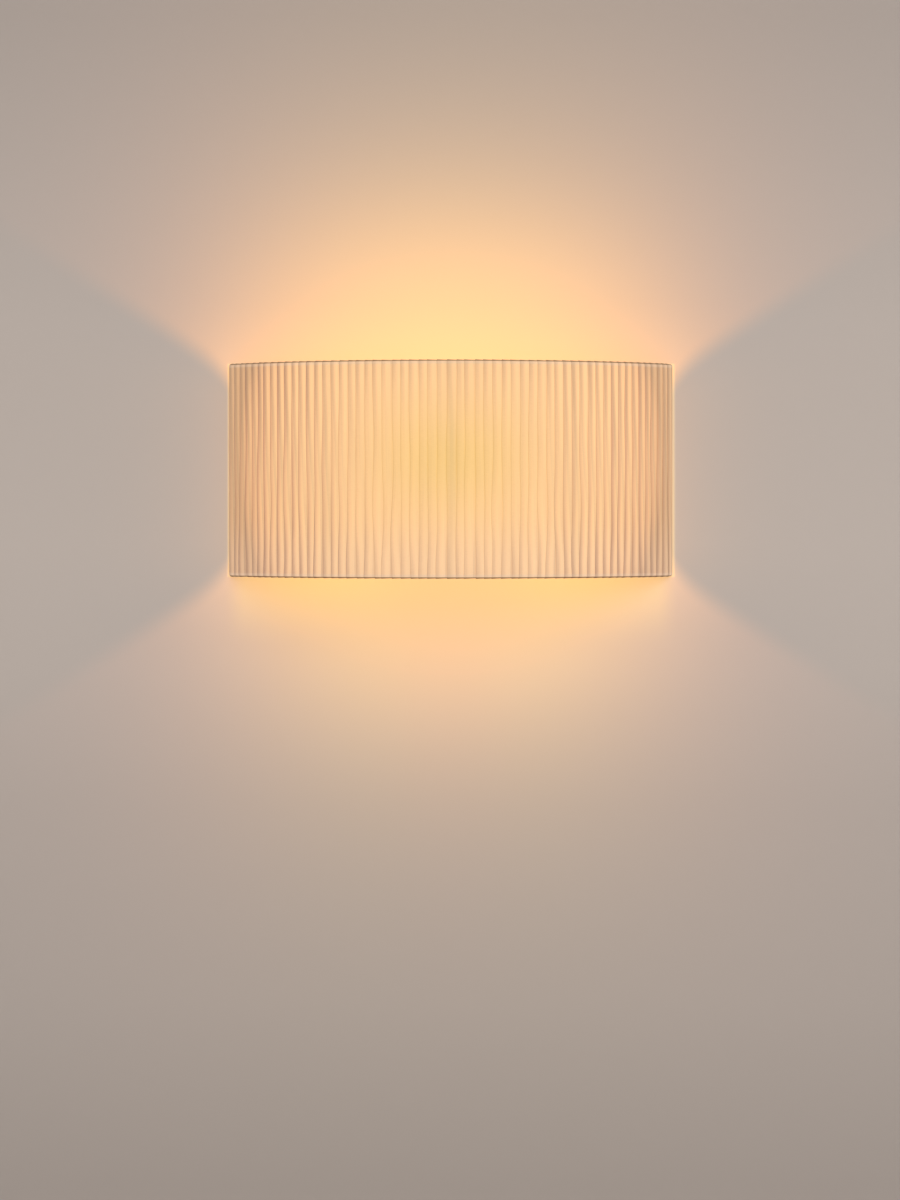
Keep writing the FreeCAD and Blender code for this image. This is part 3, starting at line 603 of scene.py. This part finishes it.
    # painted glow on the inner runs, which face the bulb
    near = calc(tree, "DIVIDE", 1.0, calc(tree, "MULTIPLY_ADD", away, *v["insideFall"]))
    turns = calc(tree, "MULTIPLY", calc(tree, "MULTIPLY_ADD", layers["Outer"], *v["insideTurns"]),
                 calc(tree, "MULTIPLY_ADD", weave["Streaks"], *v["insideStreaks"]))
    lit = mixColours(tree, calc(tree, "MULTIPLY", near, turns), black, (*v["inside"], 1.0))
    light = mixColours(tree, smoothStep(tree, inner, 0.3, 0.9), light, lit)

    # painted shade in the base colour where two layers overlap
    colour = mixColours(tree, layers["Outer"], (*v["doubleShaded"], 1.0), (*v["single"], 1.0))
    tone = calc(tree, "MULTIPLY_ADD", weave["Slub"], *v["slubTone"])
    colour = mixColours(tree, 1.0, colour, tone, "MULTIPLY")
    # painted shadow in the base colour along the crease line
    creaseShaded = mixColours(tree, 1.0, colour, (*v["creaseShade"], 1.0), "MULTIPLY")
    colour = mixColours(tree, crease, colour, creaseShaded)
    bump = addNode(tree, "Bump", {"Strength": 0.25, "Distance": 0.00008, "Height": weave["Height"]})
    front = addNode(tree, "BsdfPrincipled", {
        "Base Color": colour, "Roughness": 0.92, "Sheen Weight": 0.12, "Sheen Roughness": 0.5,
        "Emission Color": light, "Emission Strength": v["strength"], "Normal": bump.outputs[0]})
    back = addNode(tree, "BsdfTranslucent", {"Color": colour, "Normal": bump.outputs[0]})
    mixed = addNode(tree, "MixShader", {0: v["through"], 1: front.outputs[0], 2: back.outputs[0]})
    finishWith(tree, mixed.outputs[0])
    return made


ribbon = windRibbon(ribbonForm, shadeShape)
ribbon.data.materials.append(ribbonFinish(ribbonCloth, shadeShape))
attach(ribbon, "shade")
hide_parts("ribbon_shade")
print("ribbon wound")


# rolled thread of the bulb's cap, and the brass shell that it turns in

thread = {
    "pitch": 0.0254 / 7.0,
    "deep": 0.00085,
    "steps": 96,
    "rowsPerPitch": 10,
}
bulbOut = -middleOf("bulb_globe").y     # from the wall to the bulb's axis
capForm = {
    "thread": (-0.0396, -0.0262),       # crests run out to the root below, and the root to the skirt above
    "below": [(-0.0420, 0.0116), (-0.0412, 0.01205), (-0.0405, 0.01232)],
    "side": 0.0132,
    "above": [(-0.0250, 0.0132), (-0.0222, 0.0132), (-0.0214, 0.01325), (-0.0207, 0.0134),
              (-0.0205, 0.01335)],
    "wall": 0.0004,
}
shellForm = {
    "thread": (-0.0465, -0.0268),
    "below": [(-0.0500, 0.01395), (-0.0482, 0.01395)],
    "side": 0.01395,
    "above": [(-0.0252, 0.01395), (-0.0225, 0.01395)],
    "wall": 0.00045,
}


def spinProfile(name, profile, steps, form):
    # a closed outline of (radius, height), turned round the bulb's axis, with each corner moved by form
    corners = len(profile)
    bm = bmesh.new()
    bmesh.ops.create_grid(bm, x_segments=corners, y_segments=steps, size=0.5)
    for vert in bm.verts:
        radius, high = profile[round((vert.co.x + 0.5) * corners) % corners]
        round_ = 2.0 * math.pi * (round((vert.co.y + 0.5) * steps) % steps) / steps
        radius += form(round_, radius, high)
        vert.co = (radius * math.cos(round_), radius * math.sin(round_), high)
    bmesh.ops.remove_doubles(bm, verts=bm.verts, dist=0.000001)
    bmesh.ops.translate(bm, verts=bm.verts, vec=(0.0, -bulbOut, 0.0))
    bmesh.ops.recalc_face_normals(bm, faces=bm.faces)
    mesh = meshFrom(bm, name)
    mesh.shade_smooth()
    mesh.set_sharp_from_angle(angle=math.radians(38.0))
    return addObject(name, mesh)


def rolled(round_, high):
    # 0 at a root of the thread and 1 at a crest
    wave = 0.5 + 0.5 * math.cos(2.0 * math.pi * (high / thread["pitch"] - round_ / (2.0 * math.pi)))
    return wave * wave * (3.0 - 2.0 * wave)


def threadedTube(name, v, rootBelow):
    low, high = v["thread"]
    rows = math.ceil((high - low) / thread["pitch"] * thread["rowsPerPitch"])
    outer = [(r, z) for z, r in v["below"]]
    outer += [(v["side"], low + (high - low) * i / rows) for i in range(rows + 1)]
    outer += [(r, z) for z, r in v["above"]]
    inner = [(r - v["wall"], z) for r, z in reversed(outer)]
    fade = thread["pitch"] * 0.45

    def press(round_, radius, z):
        if z < low - 0.00001 or z > high + 0.00001:
            return 0.0
        depth = 1.0 - rolled(round_, z)
        bottom, top = min(1.0, (z - low) / fade), min(1.0, (high - z) / fade)
        depth = depth * bottom + (1.0 - bottom) * rootBelow
        return -thread["deep"] * depth * top

    return spinProfile(name, outer + inner, thread["steps"], press)


cap = threadedTube("rolledCap", capForm, 1.0)
cap.data.materials.append(materials["capMetal"])
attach(cap, "bulb")
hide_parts("bulb_cap")
shell = threadedTube("threadedShell", shellForm, 0.0)
shell.data.materials.append(materials["brassPart"])
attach(shell, "wall_unit")
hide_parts("screw_shell")
print("threads rolled")


# lampholder's skirt, with a band of grip ribs that turns on to the base

skirtForm = {
    "outline": [(0.0179, -0.0490), (0.0192, -0.0490), (0.0195, -0.0487), (0.0195, -0.0482),
                (0.0195, -0.0434), (0.0195, -0.0427), (0.0194, -0.0419), (0.0191, -0.0412),
                (0.01885, -0.0407), (0.0186, -0.0402), (0.0186, -0.0221), (0.0187, -0.0218),
                (0.0191, -0.0213), (0.0193, -0.0208), (0.0192, -0.0201), (0.0188, -0.0197),
                (0.0181, -0.0195), (0.01455, -0.0195), (0.01425, -0.0198), (0.01425, -0.0427),
                (0.0179, -0.0427)],
    "ribs": 60,
    "stepsPerRib": 4,
    "ribDeep": 0.0004,
    "band": (-0.04825, -0.04335),
}


def gripRibs(round_, radius, z):
    low, high = skirtForm["band"]
    if z < low or z > high or radius < 0.019:
        return 0.0
    return skirtForm["ribDeep"] * (0.5 * math.cos(skirtForm["ribs"] * round_) - 0.5)


skirtSteps = skirtForm["ribs"] * skirtForm["stepsPerRib"]
skirt = spinProfile("ribbedSkirt", skirtForm["outline"], skirtSteps, gripRibs)
skirt.data.materials.append(materials["whiteMoulding"])
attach(skirt, "wall_unit")
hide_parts("holder_shell")
print("lampholder's skirt ribbed")


# wall, floor and light

room = {
    "wall": (0.495, 0.435, 0.40),
    "roomShading": [(-0.58, 0.75), (-0.43, 0.86), (-0.27, 0.91), (-0.16, 1.0), (-0.06, 1.03), (0.06, 1.0),
               (0.12, 0.99), (0.22, 0.92), (0.37, 0.80)],       # painted shading of that colour, by height: darker towards the floor and the top
    "floor": (0.62, 0.60, 0.57),
    "floorHigh": -1.5,
    "size": 9.0,
    "sky": 0.96,
    "pool": 0.80,                   # the lamp's painted light on the wall above the shade
    "poolBelow": 0.85,
    "turnHalf": 0.03,               # between above and below
    "poolReach": 0.200,
    "poolReachBelow": 0.190,
    "poolSides": (8.0, 0.75),       # how it narrows to the sides
    "poolGreen": (14.0, 2.3, 1.90),     # less of it to the sides, above and below
    "holderShade": (0.22, 0.055),   # painted shadow that the lampholder takes from the middle below
    "poolBlue": 0.10,               # below only
    "cutSlope": 0.64,               # soft lines of painted shadow where the shade's sides cut the pool off
    "cutHalf": 0.0135,
    "cutCurl": (0.010, 0.012),
    "cutHigh": (0.0071, 0.0016),    # above and below
    "underHem": (0.15, 0.105, 0.0),     # extra painted light just below the shade's corners
    "hemSides": (0.03, 0.15),
    "hemEnd": (-0.012, 0.007),      # from the shade's side
    "hemBand": (0.0, 0.06),
    "spill": (0.16, 0.08, 0.03),    # painted light beside the shade
    "spillFade": (0.002, 0.035),
    "spillBand": (-0.036, 0.054),   # from the shade's top
    "leak": (0.26, 0.16, 0.02),     # painted light through the gap at the shade's back edges
    "leakBand": (0.0022, 0.0045),
    "bulbHigh": 0.008,
    "shadeHalf": 0.178,
    "shadeTop": 0.0865,
}


def oneSided(tree, shader):
    # clear from behind, and for light that reaches the backs of pieces that lie on it
    facing = addNode(tree, "NewGeometry").outputs["Backfacing"]
    rays = addNode(tree, "LightPath").outputs
    near = calc(tree, "LESS_THAN", rays["Ray Length"], 0.03)
    hidden = calc(tree, "MULTIPLY", near, calc(tree, "SUBTRACT", 1.0, rays["Is Camera Ray"]))
    clear = addNode(tree, "BsdfTransparent")
    share = calc(tree, "MAXIMUM", facing, hidden)
    return addNode(tree, "MixShader", {0: share, 1: shader, 2: clear.outputs[0]}).outputs[0]


def wallFinish(v):
    made, tree = newMaterial("paintedWall")
    place = addNode(tree, "TexCoord").outputs["Object"]
    x, y, z = addNode(tree, "SeparateXYZ", {0: place}).outputs
    side = calc(tree, "ABSOLUTE", x)
    above = smoothStep(tree, z, -v["turnHalf"], v["turnHalf"])
    away = calc(tree, "SUBTRACT", side, v["shadeHalf"])
    over = calc(tree, "SUBTRACT", calc(tree, "ABSOLUTE", z), v["shadeTop"])

    def either(high, low):
        return calc(tree, "MULTIPLY_ADD", above, high - low, low)

    # the lamp's painted pool of light falls off with distance
    wide = calc(tree, "POWER", side, 2.0)
    up = calc(tree, "POWER", calc(tree, "ABSOLUTE", calc(tree, "SUBTRACT", z, v["bulbHigh"])), 2.0)
    apart = calc(tree, "MULTIPLY_ADD", wide, calc(tree, "MULTIPLY_ADD", wide, *v["poolSides"]), up)
    reach = either(v["poolReach"] ** 2, v["poolReachBelow"] ** 2)
    fall = calc(tree, "POWER", calc(tree, "DIVIDE", apart, reach), 2.0)
    pool = calc(tree, "DIVIDE", either(v["pool"], v["poolBelow"]), calc(tree, "ADD", fall, 1.0))
    # and the shade's sides cut it off along two slanting soft lines of painted shadow
    curlWide, curlHigh = v["cutCurl"]
    curl = calc(tree, "EXPONENT", calc(tree, "MINIMUM", calc(tree, "DIVIDE", away, -curlWide), 4.0))
    line = calc(tree, "MULTIPLY_ADD", curl, curlHigh, either(*v["cutHigh"]))
    line = calc(tree, "ADD", over, calc(tree, "MULTIPLY_ADD", away, -v["cutSlope"], line))
    pool = calc(tree, "MULTIPLY", pool, smoothStep(tree, line, -v["cutHalf"], v["cutHalf"]))
    # below, the lampholder's painted shadow dims its middle
    aside, *levels = v["poolGreen"]
    shade, shadeHalf = v["holderShade"]
    shaded = calc(tree, "MULTIPLY_ADD", bell(tree, side, shadeHalf), either(0.0, shade), either(*levels))
    green = calc(tree, "DIVIDE", pool, calc(tree, "MULTIPLY_ADD", wide, aside, shaded))
    blue = calc(tree, "MULTIPLY", pool, either(0.0, v["poolBlue"]))
    glow = addNode(tree, "CombineColor", {0: pool, 1: green, 2: blue}).outputs[0]

    # painted light beside the shade, through the gap at its back edges and just below its corners
    near, fade = v["spillFade"]
    spill = calc(tree, "EXPONENT", calc(tree, "DIVIDE", calc(tree, "MAXIMUM", away, near), -fade))
    spill = calc(tree, "MULTIPLY", spill, smoothStep(tree, over, *v["spillBand"], 1.0, 0.0))
    hem = calc(tree, "MULTIPLY", smoothStep(tree, side, *v["hemSides"]),
               smoothStep(tree, over, *v["hemBand"], 1.0, 0.0))
    hem = calc(tree, "MULTIPLY", hem, smoothStep(tree, away, *v["hemEnd"], 1.0, 0.0))
    hem = calc(tree, "MULTIPLY", hem, either(0.0, 1.0))
    leak = calc(tree, "MULTIPLY", smoothStep(tree, away, *v["leakBand"], 1.0, 0.0),
                smoothStep(tree, over, -0.001, 0.001, 1.0, 0.0))
    black = (0.0, 0.0, 0.0, 1.0)
    glow = mixColours(tree, 1.0, glow, mixColours(tree, spill, black, (*v["spill"], 1.0)), "ADD")
    glow = mixColours(tree, 1.0, glow, mixColours(tree, leak, black, (*v["leak"], 1.0)), "ADD")
    glow = mixColours(tree, 1.0, glow, mixColours(tree, hem, black, (*v["underHem"], 1.0)), "ADD")

    # painted shading of the wall's colour, by height
    low, high = v["roomShading"][0][0], v["roomShading"][-1][0]
    height = addNode(tree, "MapRange", {0: z, 1: low, 2: high}).outputs[0]
    stops = [((place - low) / (high - low), level) for place, level in v["roomShading"]]
    colour = mixColours(tree, 1.0, (*v["wall"], 1.0), ramp(tree, height, stops), "MULTIPLY")
    plaster = addNode(tree, "TexNoise", {"Vector": place, "Scale": 260.0, "Detail": 4.0})
    bump = addNode(tree, "Bump", {"Strength": 0.08, "Distance": 0.0003, "Height": plaster.outputs[0]})
    paint = addNode(tree, "BsdfDiffuse", {"Color": colour, "Normal": bump.outputs[0]})
    # the painted light is emission that only the camera sees, over the lit wall
    seen = addNode(tree, "LightPath").outputs["Is Camera Ray"]
    painted = addNode(tree, "Emission", {"Color": glow, "Strength": seen})
    both = addNode(tree, "AddShader", {0: paint.outputs[0], 1: painted.outputs[0]})
    finishWith(tree, oneSided(tree, both.outputs[0]))
    return made


def floorFinish(v):
    made, tree = newMaterial("paleFloor")
    paint = addNode(tree, "BsdfDiffuse", {"Color": (*v["floor"], 1.0)})
    finishWith(tree, oneSided(tree, paint.outputs[0]))
    return made


def addPlane(name, material, turn, place, size):
    bm = bmesh.new()
    bmesh.ops.create_grid(bm, x_segments=1, y_segments=1, size=size / 2.0)
    bmesh.ops.rotate(bm, verts=bm.verts, cent=(0, 0, 0), matrix=Matrix.Rotation(turn, 3, "X"))
    bmesh.ops.translate(bm, verts=bm.verts, vec=place)
    mesh = meshFrom(bm, name)
    mesh.materials.append(material)
    addObject(name, mesh)


half = room["size"] / 2.0
wallPlace = (0.0, 0.0004, room["floorHigh"] + half)
addPlane("wall", wallFinish(room), math.radians(90.0), wallPlace, room["size"])
addPlane("floor", floorFinish(room), 0.0, (0.0, -half, room["floorHigh"]), room["size"])


def addSky(strength):
    world = bpy.data.worlds.new("softRoom")
    world.use_nodes = True
    world.node_tree.nodes.clear()
    values = {"Color": (1.0, 0.985, 0.96, 1.0), "Strength": strength}
    sky = addNode(world.node_tree, "Background", values)
    addNode(world.node_tree, "OutputWorld", {"Surface": sky.outputs[0]})
    bpy.context.scene.world = world


keyLamp = {
    "place": (1.3, -2.6, 1.6),
    "aim": (0.0, 0.0, 0.0),
    "size": 2.4,
    "power": 24.0,
}


def addLamp(name, v):
    data = bpy.data.lights.new(name, "AREA")
    data.shape = "DISK"
    data.size = v["size"]
    data.energy = v["power"]
    lamp = addObject(name, data)
    lamp.location = v["place"]
    lamp.rotation_euler = (Vector(v["aim"]) - Vector(v["place"])).to_track_quat("-Z", "Y").to_euler()


addSky(room["sky"])
addLamp("keyLamp", keyLamp)
bpy.context.scene.view_settings.view_transform = "Standard"
print("room lit")
